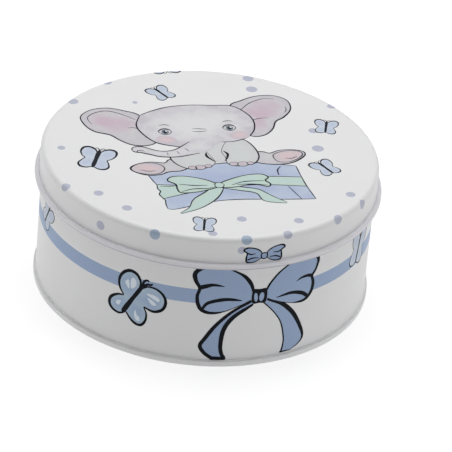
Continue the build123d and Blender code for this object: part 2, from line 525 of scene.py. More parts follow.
def bare_tinplate(base):
    """Electrolytic tinplate, cold rolled: a soft grey metal with fine lines from the rolling mill.

    The lines run along X about 0.8 mm apart, drawn coarser than the real 0.1 mm so that they show. The
    metal keeps the default IOR.
    """
    material, tree, shader = new_material("bare_tinplate")
    where = node(tree, "ShaderNodeTexCoord").outputs["Object"]
    stretch = node(tree, "ShaderNodeMapping", {"Scale": (0.02, 1.0, 1.0)}, {"Vector": where})
    lines = node(tree, "ShaderNodeTexNoise", {"Scale": 1 / 0.0008, "Detail": 3.0},
                 {"Vector": stretch.outputs["Vector"]})
    cloud = node(tree, "ShaderNodeTexNoise", {"Scale": 1 / 0.020, "Detail": 4.0}, {"Vector": where})
    tone = node(tree, "ShaderNodeMix", {"data_type": "RGBA", COLOUR_A: toned(base, 0.93),
                                        COLOUR_B: toned(base, 1.05)}, {"Factor": cloud.outputs["Fac"]})
    gloss = node(tree, "ShaderNodeMapRange", {"To Min": 0.28, "To Max": 0.46},
                 {"Value": lines.outputs["Fac"]})
    bump = node(tree, "ShaderNodeBump", {"Strength": 0.08, "Distance": 0.00003},
                {"Height": lines.outputs["Fac"]})
    tree.links.new(tone.outputs[COLOUR_OUT], shader.inputs["Base Color"])
    tree.links.new(gloss.outputs["Result"], shader.inputs["Roughness"])
    tree.links.new(bump.outputs["Normal"], shader.inputs["Normal"])
    set_sockets(shader, {"Metallic": 1.0})
    return material


def litho_ink(name, base, edge=None):
    """Litho ink under the same satin varnish. A dark ink is laid thick and dries matt, so it stays dark.

    A wash is painted: its tone goes from the base colour in the middle to the edge colour at the
    outline, and drifts over some 9 mm. The grain is drawn at 1.2 mm, coarser than the press's 0.15 mm
    dots, so that it shows.
    """
    matt = max(base) < 0.05
    drift, grain_mm = 0.05, 1.2
    material, tree, shader = new_material(name)
    where = node(tree, "ShaderNodeTexCoord").outputs["Object"]
    wash = node(tree, "ShaderNodeAttribute", {"attribute_name": "wash"}).outputs["Fac"]
    cloud = node(tree, "ShaderNodeTexNoise", {"Scale": 1 / 0.009, "Detail": 4.0}, {"Vector": where})
    blend = node(tree, "ShaderNodeMath", {"operation": "MULTIPLY"}, {0: wash, 1: cloud.outputs["Fac"]})
    steep = node(tree, "ShaderNodeMapRange", {"From Min": 0.15, "From Max": 0.6},
                 {"Value": blend.outputs[0]})
    painted = node(tree, "ShaderNodeMix", {"data_type": "RGBA", COLOUR_A: (*base, 1),
                                           COLOUR_B: (*(edge or base), 1)},
                   {"Factor": steep.outputs["Result"]})
    grain = node(tree, "ShaderNodeTexNoise", {"Scale": 1000 / grain_mm, "Detail": 2.0}, {"Vector": where})
    level = node(tree, "ShaderNodeMapRange", {"To Min": 1 - drift, "To Max": 1 + drift},
                 {"Value": grain.outputs["Fac"]})
    tone = node(tree, "ShaderNodeMix", {"data_type": "RGBA", "blend_type": "MULTIPLY", "Factor": 1.0},
                {COLOUR_A: painted.outputs[COLOUR_OUT], COLOUR_B: level.outputs["Result"]})
    tree.links.new(tone.outputs[COLOUR_OUT], shader.inputs["Base Color"])
    set_sockets(shader, {"Roughness": 0.6 if matt else 0.48, "IOR": 1.5,
                         "Specular IOR Level": 0.1 if matt else 0.35,
                         "Coat Weight": 0.0 if matt else 0.12, "Coat Roughness": 0.25})
    return material


def material_once(name, make):
    """The material of that name, made the first time that a piece asks for it."""
    return bpy.data.materials.get(name) or make()


def sheet_finishes(curl=None):
    """A sheet's finishes: its printed side's base coat, its other side's lacquer, and its cut edge. curl
    gives the two heights between which the lacquer darkens to a grey, painted shade under the lid's curl."""
    colours = bpy.context.scene.tin_colours
    name = "thinned_food_lacquer" if curl else "white_food_lacquer"
    thin = (tuple(colours.thin), *curl) if curl else None
    coat = material_once("white_litho_coat", lambda: coated("white_litho_coat", colours.coat))
    lacquer = material_once(name, lambda: coated(name, colours.lacquer, roughness=0.36, gloss=0.3,
                                                 mottle=0.015, thin=thin))
    metal = material_once("bare_tinplate", lambda: bare_tinplate(colours.metal))
    return [coat, lacquer, metal]


def ink_set(*names):
    """The inks of a piece, by name: each is one litho ink, and some run to a second tone at the edge."""
    colours = bpy.context.scene.tin_colours
    edges = {"hide": "shade", "pale": "hide", "rose": "hide", "blush": "shade", "crown": "shade",
             "wing": "mist", "box": "wing", "mint": "leaf", "sky": "lagoon"}
    made = {}
    for name in names:
        base = tuple(getattr(colours, name))
        edge = tuple(getattr(colours, edges[name])) if name in edges else None
        made[name] = material_once("ink_" + name, lambda: litho_ink("ink_" + name, base, edge))
    return made


# ---- metal shells ----


def lid_face(mm, depth):
    """Lid from the axis, over the shoulder and down the skirt to the curl's end; depth is outward."""
    flat, low = mm.lid_radius - mm.shoulder, mm.top - mm.sheet
    bend = mm.shoulder - mm.sheet + depth
    return path(
        line((0, low + depth), (flat, low + depth), 24),
        arc((flat, mm.top - mm.shoulder), bend, 90, -90, 16),
        line((mm.lid_inner + depth, mm.top - mm.shoulder), (mm.lid_inner + depth, mm.lid_curl_height), 6),
        arc((mm.lid_inner + mm.lid_curl, mm.lid_curl_height), mm.lid_curl - depth, 180, mm.lid_sweep, 32))


def wall_face(mm, depth):
    """Body wall from its hook in the seam, up the wall to the end of the mouth's curl; depth is outward."""
    bend = mm.fold - depth
    fold_centre = (mm.wall_inner + mm.fold, mm.wall_foot + mm.fold)
    curl = mm.body_curl - mm.sheet + depth
    curl_centre = (mm.wall_inner + mm.sheet - mm.body_curl, mm.body_curl_height)
    hook_top = mm.seam_height - mm.fold - mm.hook_gap
    return path(
        line((fold_centre[0] + bend, hook_top), (fold_centre[0] + bend, fold_centre[1])),
        arc(fold_centre, bend, 0, -180, 10),
        line((mm.wall_inner + depth, fold_centre[1]), (mm.wall_inner + depth, curl_centre[1]), 20),
        arc(curl_centre, curl, 0, mm.body_sweep, 24))


def panel_face(mm, depth):
    """Bottom panel from the axis, down its upright wall and round the seam; depth is inward."""
    bend, foot = mm.panel_bend, mm.seam_bend
    chuck = mm.wall_inner - mm.panel_gap - mm.sheet
    step_end = chuck - mm.ring_width
    raised, ring = mm.recess + mm.step_height + depth, mm.recess + depth
    rim_fold = mm.seam_height - mm.fold
    hook = mm.seam_radius - 2 * mm.fold + depth
    return path(
        line((0, raised), (step_end - mm.step_run, raised), 20),
        line((step_end - mm.step_run, raised), (step_end, ring), 3),
        line((step_end, ring), (chuck - bend, ring), 3),
        arc((chuck - bend, mm.recess - bend), bend + depth, 90, -90, 8),
        line((chuck + depth, mm.recess - bend), (chuck + depth, foot)),
        arc((chuck + foot, foot), foot - depth, 180, 90, 8),
        line((chuck + foot, depth), (mm.seam_radius - foot, depth)),
        arc((mm.seam_radius - foot, foot), foot - depth, -90, 90, 8),
        line((mm.seam_radius - depth, foot), (mm.seam_radius - depth, rim_fold), 2),
        arc((mm.seam_radius - mm.fold, rim_fold), mm.fold - depth, 0, 180, 10),
        line((hook, rim_fold), (hook, mm.wall_foot + mm.fold + mm.hook_gap)))


def sheet_shell(name, faces, picks, materials, segments, on_axis):
    """A sheet between two faces, each a run of points, turned about Z. picks gives each face's material,
    and the cut edges between the two faces take the last material."""
    first, second = faces
    bare = [len(materials) - 1]
    picks = [picks[0]] * (len(first) - 1) + bare + [picks[1]] * (len(second) - 1) + bare * (not on_axis)
    return turned(name, np.concatenate([first, second[::-1]]), np.array(picks), materials, segments, on_axis)


def wall_strip(name, angle, width, inner, outer, bottom, top, material):
    """A strip on a round wall: its section, width across the angle and from radius inner to outer, is
    carried up from bottom to top. The ends are closed by faces across the section."""
    across, along = 7, 25  # points across the strip and up it
    a = angle + np.linspace(-0.5, 0.5, across) * width / outer
    loop_angle = np.concatenate([a, a[::-1]])
    loop_radius = np.concatenate([np.full(across, outer), np.full(across, inner)])
    z = np.linspace(bottom, top, along)[:, None]
    x, y = loop_radius * np.cos(loop_angle), loop_radius * np.sin(loop_angle)
    rings = np.stack(np.broadcast_arrays(x, y, z), axis=-1)
    count = len(loop_angle)
    faces = grid_faces(len(rings), count, True)[:, ::-1].tolist()
    k = np.arange(across - 1)
    cap = np.stack([k, k + 1, count - 2 - k, count - 1 - k], axis=-1)
    faces += cap[:, ::-1].tolist() + (cap + (len(rings) - 1) * count).tolist()
    return add_mesh(name, rings.reshape(-1, 3), faces, np.zeros(len(faces)), [material])


# Closed sections in millimetres, outwards and upwards from the point that each is placed at.
CURL_FILLET = [(-0.1, 0.7), (-0.1, 1.8), (0.1, 1.62), (0.4, 1.45), (0.8, 1.37), (1.0, 1.36), (0.6, 1.2),
               (0.2, 0.7)]  # varnish in the corner over the lid's curl, from the skirt at the curl's middle
SEAM_BEAD = [(-0.05, -1.0), (-0.05, 0.28), (0.07, 0.14), (0.24, 0.05), (0.42, 0.01), (0.62, 0.0),
             (0.4, -0.3), (0.26, -1.0)]  # compound in the seam's mouth, from the wall at the seam's top
PAINTED_SHADE_FROM, PAINTED_SHADE_TO = 0.2, -0.7  # curl radii over its middle, between which the lacquer darkens to painted shade
BITE = 0.1  # millimetres that the lap and the weld line run into the wall
WELD_PROUD = 0.04  # millimetres that the weld line stands out from the wall
WELD_START = 0.4  # millimetres from the top of the double seam to the weld line


def ring_of(name, section, place, material, mm):
    """A closed section turned about Z, in one material."""
    points = placed(section, place)
    return turned(name, points, np.zeros(len(points), dtype=int), [material], mm.segments, False)


class TIN_OT_lid_shell(bpy.types.Operator):
    """Makes the lid: one drawn sheet with a rounded shoulder, a short skirt and an outward curl"""
    bl_idname = "tin.lid_shell"
    bl_label = "Lid"

    def execute(self, context):
        mm = shop_sizes()
        # Heights between which the lid's inner lacquer darkens to painted shade under its curl.
        curl = [(mm.lid_curl_height + radii * mm.lid_curl) * MM for radii in (PAINTED_SHADE_FROM, PAINTED_SHADE_TO)]
        lid = sheet_shell("lid_shell", (lid_face(mm, mm.sheet), lid_face(mm, 0)), (0, 1),
                          sheet_finishes(curl), mm.segments, True)
        varnish = ring_of("curl_varnish", CURL_FILLET, (mm.lid_radius, mm.lid_curl_height),
                          sheet_finishes()[1], mm)
        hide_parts("lid")
        for piece in (lid, varnish):
            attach(piece, "lid")
        return {"FINISHED"}


class TIN_OT_body_shell(bpy.types.Operator):
    """Makes the body wall with its mouth curl and side seam, and the bottom panel with its double seam"""
    bl_idname = "tin.body_shell"
    bl_label = "Body"

    def execute(self, context):
        mm = shop_sizes()
        skins = sheet_finishes()
        # From the curl down the printed face and back up the inner one, so that both face outwards.
        wall = sheet_shell("body_shell", (wall_face(mm, mm.sheet)[::-1], wall_face(mm, 0)[::-1]), (0, 1),
                           skins, mm.segments, False)
        panel = sheet_shell("bottom_shell", (panel_face(mm, mm.sheet), panel_face(mm, 0)), (1, 0), skins,
                            mm.segments, True)
        panel_top = mm.recess + mm.step_height + mm.sheet
        low, high = panel_top + mm.lap_margin, mm.body_curl_height - mm.body_curl - mm.lap_margin
        lap = wall_strip("side_seam_lap", mm.lap_angle, mm.lap_width, mm.wall_inner - mm.lap_thickness,
                         mm.wall_inner + BITE, low, high, skins[1])
        weld = wall_strip("side_seam_weld", mm.lap_angle, mm.weld_width, mm.wall_radius - BITE,
                          mm.wall_radius + WELD_PROUD, mm.seam_height + WELD_START, high + mm.lap_margin,
                          skins[2])
        # The compound is a cured rubber lining: matt, with no varnish on it, and a little uneven in tone.
        filler = material_once("seam_compound", lambda: coated(
            "seam_compound", context.scene.tin_colours.compound, roughness=0.6, gloss=0.0, mottle=0.04))
        ring = ring_of("seam_compound", SEAM_BEAD, (mm.wall_radius, mm.seam_height), filler, mm)
        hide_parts("body_wall")
        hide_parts("bottom_panel")
        for piece in (wall, panel, lap, weld, ring):
            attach(piece, "tin_body")
        return {"FINISHED"}


# ---- the picture on the lid ----


def mark(points, widths, layer, count=90):
    """A smooth open line through the points, in the line's ink."""
    return stroke(smooth(points), widths, "line", layer, count=count)


def lobe(points, wash, centre=None, widths=(0.9, 0.6, 1.0, 0.7), layer=1):
    """A washed shape, with its outline half a layer above."""
    curve = smooth(points, True)
    return [fill(curve, wash, layer, centre, count=90),
            stroke(curve, widths, "line", layer + 0.5, True, 90)]


def elephant():
    """A seated baby elephant of a plain nursery kind, drawn back to front."""
    shapes = []
    left_ear = [(-42, 33), (-51, 37), (-61, 38.5), (-70, 34.5), (-75, 26), (-72, 17), (-66, 10.5), (-57, 8),
                (-51, 3), (-44, -1), (-36, -0.5), (-31, 5), (-36, 18)]
    left_inner = [(-44, 28), (-53, 33), (-61, 35), (-68, 31), (-71, 25), (-68, 18), (-60, 11), (-53, 10),
                  (-47, 9), (-43, 14), (-42, 21)]
    right_ear = [(9, 53), (15, 61), (23, 67.5), (33, 70), (41, 66), (43.5, 56), (40, 46), (35.5, 40),
                 (34, 31), (30, 23.5), (24, 20.5), (19, 24), (19, 38)]
    right_inner = [(15, 50), (20, 59), (27, 65), (34, 66), (39, 61), (40, 54), (36, 46), (31, 41), (31, 33),
                   (28, 26.5), (23, 24), (21.5, 32), (22, 41)]
    shapes += lobe(left_ear, "hide", centre=(-55, 20))
    shapes += [fill(smooth(left_inner, True), "rose", 1.8, centre=(-62, 22)),
               mark(left_inner[:6], (0.3, 0.6, 0.6, 0.2), 2.2),
               mark([(-48, 17.6), (-44.5, 18.6), (-41.5, 17)], (0.2, 0.5, 0.3), 2.2)]
    shapes += lobe(right_ear, "hide", centre=(29, 44))
    shapes += [fill(smooth(right_inner, True), "rose", 1.8, centre=(26, 44)),
               mark(right_inner[:4], (0.4, 0.6, 0.5, 0.2), 2.2),
               mark([(22.5, 39.6), (27, 42.2), (31.5, 43.4)], (0.6, 0.5, 0.2), 2.2),
               mark([(40.3, 58), (41, 54.5), (40.2, 51)], (0.2, 0.5, 0.2), 2.2)]

    right_leg = [(24, 2), (29, 4), (33, 3), (38, 7), (45, 9), (51, 8.5), (53, 5), (50, -1), (45, -6),
                 (37, -9), (28, -9), (22, -6)]
    left_leg = [(-19, -13), (-23, -14.5), (-25, -18), (-33, -18.5), (-40, -22), (-43.5, -27), (-40, -31),
                (-33, -33), (-26, -31), (-22, -27.5), (-15, -25), (-12, -20)]
    shapes += lobe(right_leg, "hide", centre=(36, 0))
    shapes += lobe(left_leg, "hide", centre=(-27, -24))
    right_sole = [(35, 0), (37, 4), (43, 7.5), (49, 8), (51.5, 5), (49, -0.5), (44, -5), (38, -5.5)]
    left_sole = [(-43, -27), (-39, -21.5), (-32, -19.5), (-26.5, -21), (-24.5, -25), (-27, -30), (-33, -32),
                 (-40, -31)]
    shapes += lobe(right_sole, "blush", layer=2, widths=(0.6, 0.4, 0.7, 0.4))
    shapes += lobe(left_sole, "blush", layer=2, widths=(0.6, 0.4, 0.7, 0.4))
    for crease in ([(41.5, -1.2), (45.6, -0.7), (48.4, 2.2)], [(-38, -28), (-33.5, -28.8), (-29.3, -27.6)]):
        shapes += [mark(crease, (0.2, 0.6, 0.3), 3, count=24)]

    belly = [(2, 12), (14, 17), (22, 12), (26.5, 2), (26, -7), (21, -12), (8, -12), (-4, -12), (-12, -8),
             (-12, 0), (-6, 7)]
    right_arm = [(9, 13), (17, 16), (23, 10), (27, 0), (26, -8), (21.5, -12), (15, -14.5), (10, -12.5),
                 (8.5, -6), (6, 1)]
    left_arm = [(-5, 1), (-13, -2.5), (-20, -6.5), (-22, -12), (-18, -18.5), (-12, -22), (-5, -21.5),
                (1, -17.5), (3, -12.5), (0, -6)]
    shapes += [fill(smooth(belly, True), "pale", 2.2, centre=(5, -1))]
    shapes += lobe(right_arm, "pale", layer=3, centre=(17, 0), widths=(0.3, 0.8, 0.9, 0.8, 0.5, 0.3))
    shapes += lobe(left_arm, "pale", layer=3, centre=(-9, -11), widths=(0.3, 0.8, 0.8, 0.7, 0.5, 0.3))
    shapes += [mark([(-2.5, -2.5), (-2, -6.5), (1, -10), (3.5, -12)], (0.4, 1.6, 1.1, 0.4), 4.4),
               mark([(7, 1), (9.5, -2), (9.5, -6.5), (8.5, -10)], (0.4, 1.6, 1.1, 0.4), 4.4)]
    for x, y, size in ((13.5, -12.6, 2.0), (18.4, -11.8, 2.4), (22.6, -10.2, 1.6),
                       (-9.2, -20.8, 1.9), (-4.8, -19.6, 2.3), (-0.6, -17.4, 1.6)):
        toe = oval((x, y), size, 15, 1.25, 20)
        shapes += [fill(toe, "rose", 4.4, (x, y), 3, 24),
                   stroke(toe, (0.4, 0.3), "line", 4.8, True, 28)]

    head = [(-42, 33), (-36, 39), (-27, 45.5), (-15, 50), (-2, 52), (9, 53.5), (17, 48), (22.5, 39),
            (23.5, 28), (20, 19), (13, 13), (6, 11), (0, 5), (-9, 2), (-19, 1.5), (-30, 3.5), (-38, 11),
            (-43, 21)]
    shapes += [fill(smooth(head, True), "crown", 5, centre=(-10, 28), rings=8, count=120)]
    shapes += [mark(head[:12], (0.4, 0.9, 0.6, 0.7, 0.9, 0.8, 0.3), 5.5),
               mark(head[13:] + head[:1], (0.2, 0.6, 0.8, 0.9, 0.5), 5.5)]

    spine = smooth([(-2, 12), (-6, 5), (-12, -1), (-19, -6.5), (-27, -8.5), (-34, -7), (-39.5, -5.5),
                    (-43.5, -7.5)])
    trunk = stroke(spine, (13, 15, 13, 9, 6.5, 5.5, 6.5, 6), "crown", 5.6, False, 60)
    # The head's tone lies along its middle and the darker one along both edges. Its outline starts a few
    # points along, clear of the face.
    trunk.wash = np.broadcast_to(np.array([[0.9], [0.5], [0.9]]), trunk.rows.shape[:2])
    shapes += [trunk, stroke(trunk.rows[0][14:], (0.3, 0.8, 0.7, 0.8, 0.5), "line", 6.1),
               stroke(trunk.rows[2][18:], (0.3, 0.8, 0.7, 0.8, 0.5), "line", 6.1)]
    tip = [(-36.5, -7.6), (-38.4, -6.4), (-40.8, -7.4), (-40.4, -9.6)]
    shapes += [mark(tip, (0.2, 0.6, 0.3), 6.3, count=24)]
    for along in (22, 28, 34):
        left, right = trunk.rows[0][along], trunk.rows[2][along]
        shapes += [stroke(line(left * 0.75 + right * 0.25, left * 0.35 + right * 0.65, 6),
                          (0.2, 0.5, 0.2), "line", 6.3, count=16)]

    for cheek, turn in (((-25, 7.5), -8), ((15.5, 20.5), 25)):
        spot = oval(cheek, 4.6, turn, 1.35, 32)
        shapes += [fill(spot, "blush", 5.8, cheek)]
    for eye, tilt in (((-26.5, 16.5), 8), ((9.5, 27.5), 12)):
        white = smooth(placed([(-3.9, 0.8), (-1.7, 2.9), (1.4, 3), (3.6, 0.9), (2, -2.4), (-1.6, -2.6)],
                              eye, 1, tilt), True)
        ring = oval(eye, 2.7, tilt, 0.8)
        pupil = oval(eye, 1.5, tilt, 0.7, 20)
        spark = oval((eye[0] + 0.6, eye[1] + 1.1), 0.7, count=16)
        lid_line = placed([(-3.8, 0.6), (-2, 3), (0.6, 3.7), (3.2, 2.6)], eye, 1, tilt)
        brow = placed([(-3, 7.2), (0, 8.3), (3.2, 7.6)], eye, 1, tilt)
        shapes += [fill(white, "crown", 5.8, eye, 3, 36),
                   stroke(white, (0.35, 0.45), "line", 6.2, True, 40),
                   fill(ring, "iris", 6, eye, 3, 30), fill(pupil, "line", 6.3, eye, 2, 24),
                   fill(spark, "coat", 6.6, count=20, rings=2),
                   mark(lid_line, (0.3, 1.0, 0.9, 0.3), 6.4, count=24),
                   mark(brow, (0.2, 0.7, 0.2), 6, count=20)]
    for lift in (0.0, 3.2):
        shapes += [mark([(-11.5, 20 + lift), (-7, 20.4 + lift), (-3, 22 + lift * 0.6)],
                        (0.2, 0.6, 0.2), 6, count=20)]
    return shapes


def gift_box():
    """A wrapped box seen at a slant, with a mint ribbon round it and a bow."""
    top = smooth([(-33.5, -32.5), (-22, -27.5), (-13, -22), (5, -13.5), (25, -9), (48, -8.5)])
    bottom = smooth([(-20.3, -67.6), (-16.5, -67.2), (-9, -63), (5, -55), (17, -51), (30, -48.5), (45, -46),
                     (60, -43)])
    left_side = smooth([(-33.5, -32.5), (-29.8, -39.4), (-27.8, -43), (-27.2, -46.6), (-25.5, -49.4),
                        (-25.9, -52.8), (-23.9, -56.2), (-22.3, -58.6), (-21.7, -63), (-20.3, -67.6)])
    right_side = smooth([(48, -8.5), (51.5, -20.5), (55, -31), (60, -43)])
    shapes = [patch(top, bottom, left_side, right_side, "box", 0.6)]
    for side in (top, bottom, left_side, right_side):
        shapes += [stroke(side, (0.4, 0.7, 0.5, 0.8, 0.6, 0.7, 0.4), "line", 1.5, count=70)]
    shapes += [mark([(39.5, -10.5), (38, -15), (38.8, -20.5)], (0.4, 0.9, 0.5), 1.5),
               stroke(line((44.5, -32), (52.5, -45), 6), (0.5, 0.6, 0.4), "line", 1.5),
               mark([(-26, -44), (-20, -43), (-15, -41)], (0.3, 0.7, 0.3), 1.5)]
    # Ribbons and tails are each a left and a right edge.
    ribbons = [([(-28.2, -42.5), (-16, -41), (-2, -37), (7, -35)],
                [(-24, -57.5), (-14, -51), (0, -43), (7, -39)]),
               ([(7, -35), (20, -27), (33, -23), (51.5, -20.5)],
                [(7, -39), (20, -35), (34, -32), (54.8, -30)])]
    for left, right in ribbons:
        left, right = smooth(left), smooth(right)
        shapes += [band(left, right, "mint", 1.2), stroke(left, (0.5, 0.7, 0.5), "line", 1.7),
                   stroke(right, (0.5, 0.7, 0.5), "line", 1.7)]
    tails = [([(4, -38), (-1, -46), (-7, -55), (-9, -64), (-13.5, -71)],
              [(9, -39), (7.5, -47), (4, -55), (-3, -64), (-13, -71.5)]),
             ([(9, -35.5), (19, -37), (28, -38), (36, -44), (44.5, -49.5)],
              [(8, -40), (18, -41), (27, -42.5), (32, -50), (44, -50.5)])]
    for left, right in tails:
        left, right = smooth(left), smooth(right)
        shapes += [band(left, right, "mint", 1.9), stroke(left, (0.4, 0.9, 0.6, 0.4), "line", 2.3),
                   stroke(right, (0.4, 0.9, 0.6, 0.4), "line", 2.3)]
    left_loop = [(5, -36), (-2, -32.5), (-12, -30.8), (-20, -32.5), (-22.3, -37), (-17.5, -40.5),
                 (-16.5, -45), (-14, -49), (-6, -47), (1, -43), (6, -39)]
    right_loop = [(7, -35), (13, -29), (21, -23.5), (29, -21.2), (33, -24), (31.5, -27.5), (34.5, -31),
                  (33, -34), (25, -33), (16, -37.5), (8, -39.5)]
    shapes += lobe(left_loop, "mint", layer=2.6, centre=(-9, -39))
    shapes += lobe(right_loop, "mint", layer=2.6, centre=(22, -30))
    for fold in ([(-14, -48), (-8, -44), (0, -42), (5, -39)], [(-16, -40), (-8, -40), (0, -38.5)],
                 [(13, -36), (20, -31), (31, -28)], [(16, -35), (24, -33), (33, -32.5)]):
        shapes += [mark(fold, (0.3, 0.9, 0.3), 3.6, count=30)]
    knot = [(4.4, -35), (7, -34.6), (9, -36.6), (8, -39.6), (5.2, -39.9), (3.9, -37.6)]
    shapes += lobe(knot, "mint", layer=3.8, widths=(0.8, 0.3, 0.7, 0.4))
    return shapes


def butterfly(centre, size, turn, weight, layer=1.5):
    """A plain butterfly of the given height: each side has two wings in one wash, with an outline round
    them that has a notch between the two, and a body stroke and two feelers lie between the sides."""
    upper = [(0.6, 7), (3.4, 12.6), (8.2, 15.4), (12.8, 13.4), (13.9, 7.5), (11.8, 1.5), (8.6, -1.6)]
    lower = [(8.6, -1.6), (10.9, -6.5), (12, -11.6), (9.4, -15.6), (4.6, -16), (0.6, -13.6)]
    scale = size / 32  # the wings above are drawn 32 high
    shapes = []
    for side in (1, -1):
        for wing, widths, lift in ((upper, (0.8, 1.3, 2.3, 2.3, 1.5, 1.0, 1.0), 0),
                                   (lower, (1.0, 1.0, 1.5, 2.1, 1.4, 0.8), 0.2)):
            curve = placed(smooth(wing, steps=8), centre, scale, turn, side)
            root = placed([(0.4, -1.5), (3, 0.5)], centre, scale, turn, side)
            if wing is upper:
                root = root[::-1]
            shapes += [fill(np.concatenate([curve, root]), "wing", layer + lift, count=56, rings=10),
                       stroke(curve, np.array(widths) * weight * scale, "line", layer + 0.8, count=60)]
        feeler = placed(smooth([(0, 11), (1, 14), (2.8, 15.4), (4, 14.6)]), centre, scale, turn, side)
        shapes += [stroke(feeler, np.array((1.2, 0.9, 0.7)) * weight * scale, "line", layer + 1.2, count=30)]
    trunk = placed([(0, 12), (0, 7), (0, -2), (0, -9), (0, -15)], centre, scale, turn)
    widths = np.array((2.4, 4.2, 3.4, 3.8, 2.2)) * weight * scale
    return shapes + [stroke(smooth(trunk), widths, "line", layer + 1.6)]


WING_BRUSH = 0.82  # share of the widths listed for the large butterfly's wings that they are drawn at


def large_butterfly(layer=2):
    """The butterfly in the ribbon's blue: a brush line round each side's two wings, which share a wash."""
    wings = [
        ([(-32.6, 43.2), (-32.4, 47), (-34.8, 51), (-38.9, 52.2), (-42.9, 49.8), (-45.2, 45), (-44.6, 39.8),
          (-41.8, 35.6)], (1.4, 1.6, 2.2, 2.4, 2.2, 1.8, 1.3, 0.9)),
        ([(-41.8, 35.6), (-45.8, 34.7), (-49.8, 31.6), (-50.6, 27.6), (-48.4, 24.5), (-44.4, 23.3),
          (-40.8, 24.8)], (0.9, 1.5, 2.1, 2.3, 2.0, 1.6, 1.2)),
        ([(-31.6, 42.6), (-28, 45), (-23, 44.7), (-18.8, 41.5), (-17.4, 36.9), (-19.2, 32.4), (-24, 30.2),
          (-29.6, 31.8)], (1.0, 1.2, 1.5, 1.9, 2.2, 2.2, 1.7, 1.0)),
        ([(-29.6, 31.8), (-27.9, 27.8), (-28.1, 23.4), (-30.2, 20), (-33.4, 19.6), (-36.8, 21.8),
          (-40, 25.6)], (0.9, 1.1, 1.6, 2.0, 2.0, 1.4, 1.0))]
    shapes = []
    for k, (wing, widths) in enumerate(wings):
        curve = smooth(wing)
        shapes += [fill(np.concatenate([curve, [(-37, 34)]]), "sky", layer + 0.2 * (k % 2), rings=8),
                   stroke(curve, WING_BRUSH * np.array(widths), "brush", layer + 1, count=70)]
    gleams = ([(-38.8, 40.6), (-41.4, 43.6), (-40.9, 45.4), (-39.4, 45.9)],
              [(-37.6, 41.2), (-38.3, 45.6), (-37.2, 48.3), (-35.2, 47), (-34.9, 43.6)],
              [(-28.5, 40.3), (-24.6, 40.7), (-21.2, 39), (-21.8, 37)],
              [(-27.8, 38.1), (-23.7, 36.2), (-22.7, 34.2), (-25.4, 34.5)],
              [(-43.4, 31.2), (-45.6, 30.9), (-46.4, 29), (-44.6, 28.2)],
              [(-34.4, 28.4), (-34.9, 24.8), (-33.2, 22), (-31.4, 22.2), (-31.9, 24.6), (-33.3, 25.6)])
    for gleam in gleams:
        shapes += [fill(smooth(gleam, True), "shine", layer + 0.7, rings=3, count=40)]
    for feeler in ([(-31, 45), (-30.4, 47.8), (-28.6, 49), (-27.4, 48.2)],
                   [(-30.4, 44.8), (-28.4, 46.4), (-26.4, 46.6), (-25.4, 47.6)]):
        shapes += [stroke(smooth(feeler), (1.6, 1.4, 0.9), "brush", layer + 1.2, count=30)]
    trunk = smooth([(-30.4, 45.9), (-33, 41.2), (-36.6, 34.8), (-40, 28.4), (-42, 24.4)])
    return shapes + [stroke(trunk, (2.2, 2.4, 2.3, 3.0, 2.6), "brush", layer + 1.6)]


LID_BUTTERFLIES = [  # centre, height, turn and line weight of each, in millimetres and degrees
    ((-31.5, 62), 15.5, 41, 0.8), ((64.2, 39), 15.5, -3, 0.8), ((-62.8, -19), 23, -8, 0.95),
    ((64.4, -7.6), 16, 39, 0.8), ((0, -80.3), 14.5, 0, 0.8), ((-31.2, 94.6), 18.5, 198, 0.7)]
LID_DOTS = [  # centre and radius of each, in millimetres
    (18, 88, 3.2), (20.5, 75.5, 3.3), (-45.5, 48, 1.5), (-83, -11, 2.2), (60, 13, 3.4), (57, 33, 2.8),
    (-77.5, -52.5, 2.8), (-59, -57, 2.7), (-42.6, -70.2, 2.8), (20, -71.5, 2.7), (51, -68, 2.7),
    (79, -35, 2.7), (5, -89.3, 2.5), (-80.5, 43, 3.0), (45.6, -82.4, 2.6), (73, -61, 2.9), (87, -41, 2.8),
    (-63, 69, 2.8), (67, 63.5, 2.6)]
LID_BLUE_DOTS = [(23.6, -91.4, 3.0), (-26.5, -92.6, 3.0)]
SKIRT_DOTS = [(-60, 73.5, 2.7), (21.5, 75, 2.2), (-151, 72, 2.7), (-197, 73, 2.6), (-215, 72.5, 2.7),
              (-262, 74, 2.6), (151, 72, 2.6), (163, 74, 2.7), (205, 72.5, 2.6), (250, 73.5, 2.6)]
SKIRT_BOWS = [(34.5, 70.8), (-174, 71), (-238, 71), (184, 71)]
BODY_BUTTERFLIES = [((-111.5, 53), 18, -30, 0.55), ((109.5, 50.8), 22, -13, 0.6), ((-178, 51), 21, 14, 0.6),
                    ((157, 52), 19, -26, 0.6)]  # as on the lid, but s and z on the wall


def small_bow(middle, layer=2):
    """A little tied bow: each loop is a rounded square with a notch in its outer side and two folds."""
    loop = [(1.2, 0.6), (2.6, 3.2), (6, 5), (10, 5.4), (11.8, 4), (9.8, 2.1), (10.1, -0.8), (9.6, -3.5),
            (6, -3.8), (2.2, -1.8)]
    folds = [[(9.8, 2.2), (7.6, 1.3), (5, 1.6)], [(9.4, -2.2), (6.6, -1.1), (3, -1.2)]]
    shapes = []
    for side in (1, -1):
        curve = placed(smooth(loop, True), middle, 1, 0, side)
        shapes += [fill(curve, "ribbon", layer, placed([(6.5, 1)], middle, 1, 0, side)[0], 4, 60),
                   stroke(curve, (0.5, 0.8, 0.7, 1.1, 0.8, 1.1, 0.7, 0.5), "brush", layer + 0.6, True, 70)]
        shapes += [stroke(placed(smooth(fold), middle, 1, 0, side), (0.9, 0.8, 0.3), "brush", layer + 0.8,
                          count=24) for fold in folds]
    knot = placed([(-1.5, 1.3), (1.5, 1.3), (1.3, -1.6), (-1.3, -1.6)], middle)
    shapes += [fill(smooth(knot, True), "ribbon", layer + 0.9, count=30, rings=2),
               stroke(smooth(knot, True), (0.7,), "brush", layer + 1.3, True, 36)]
    return shapes


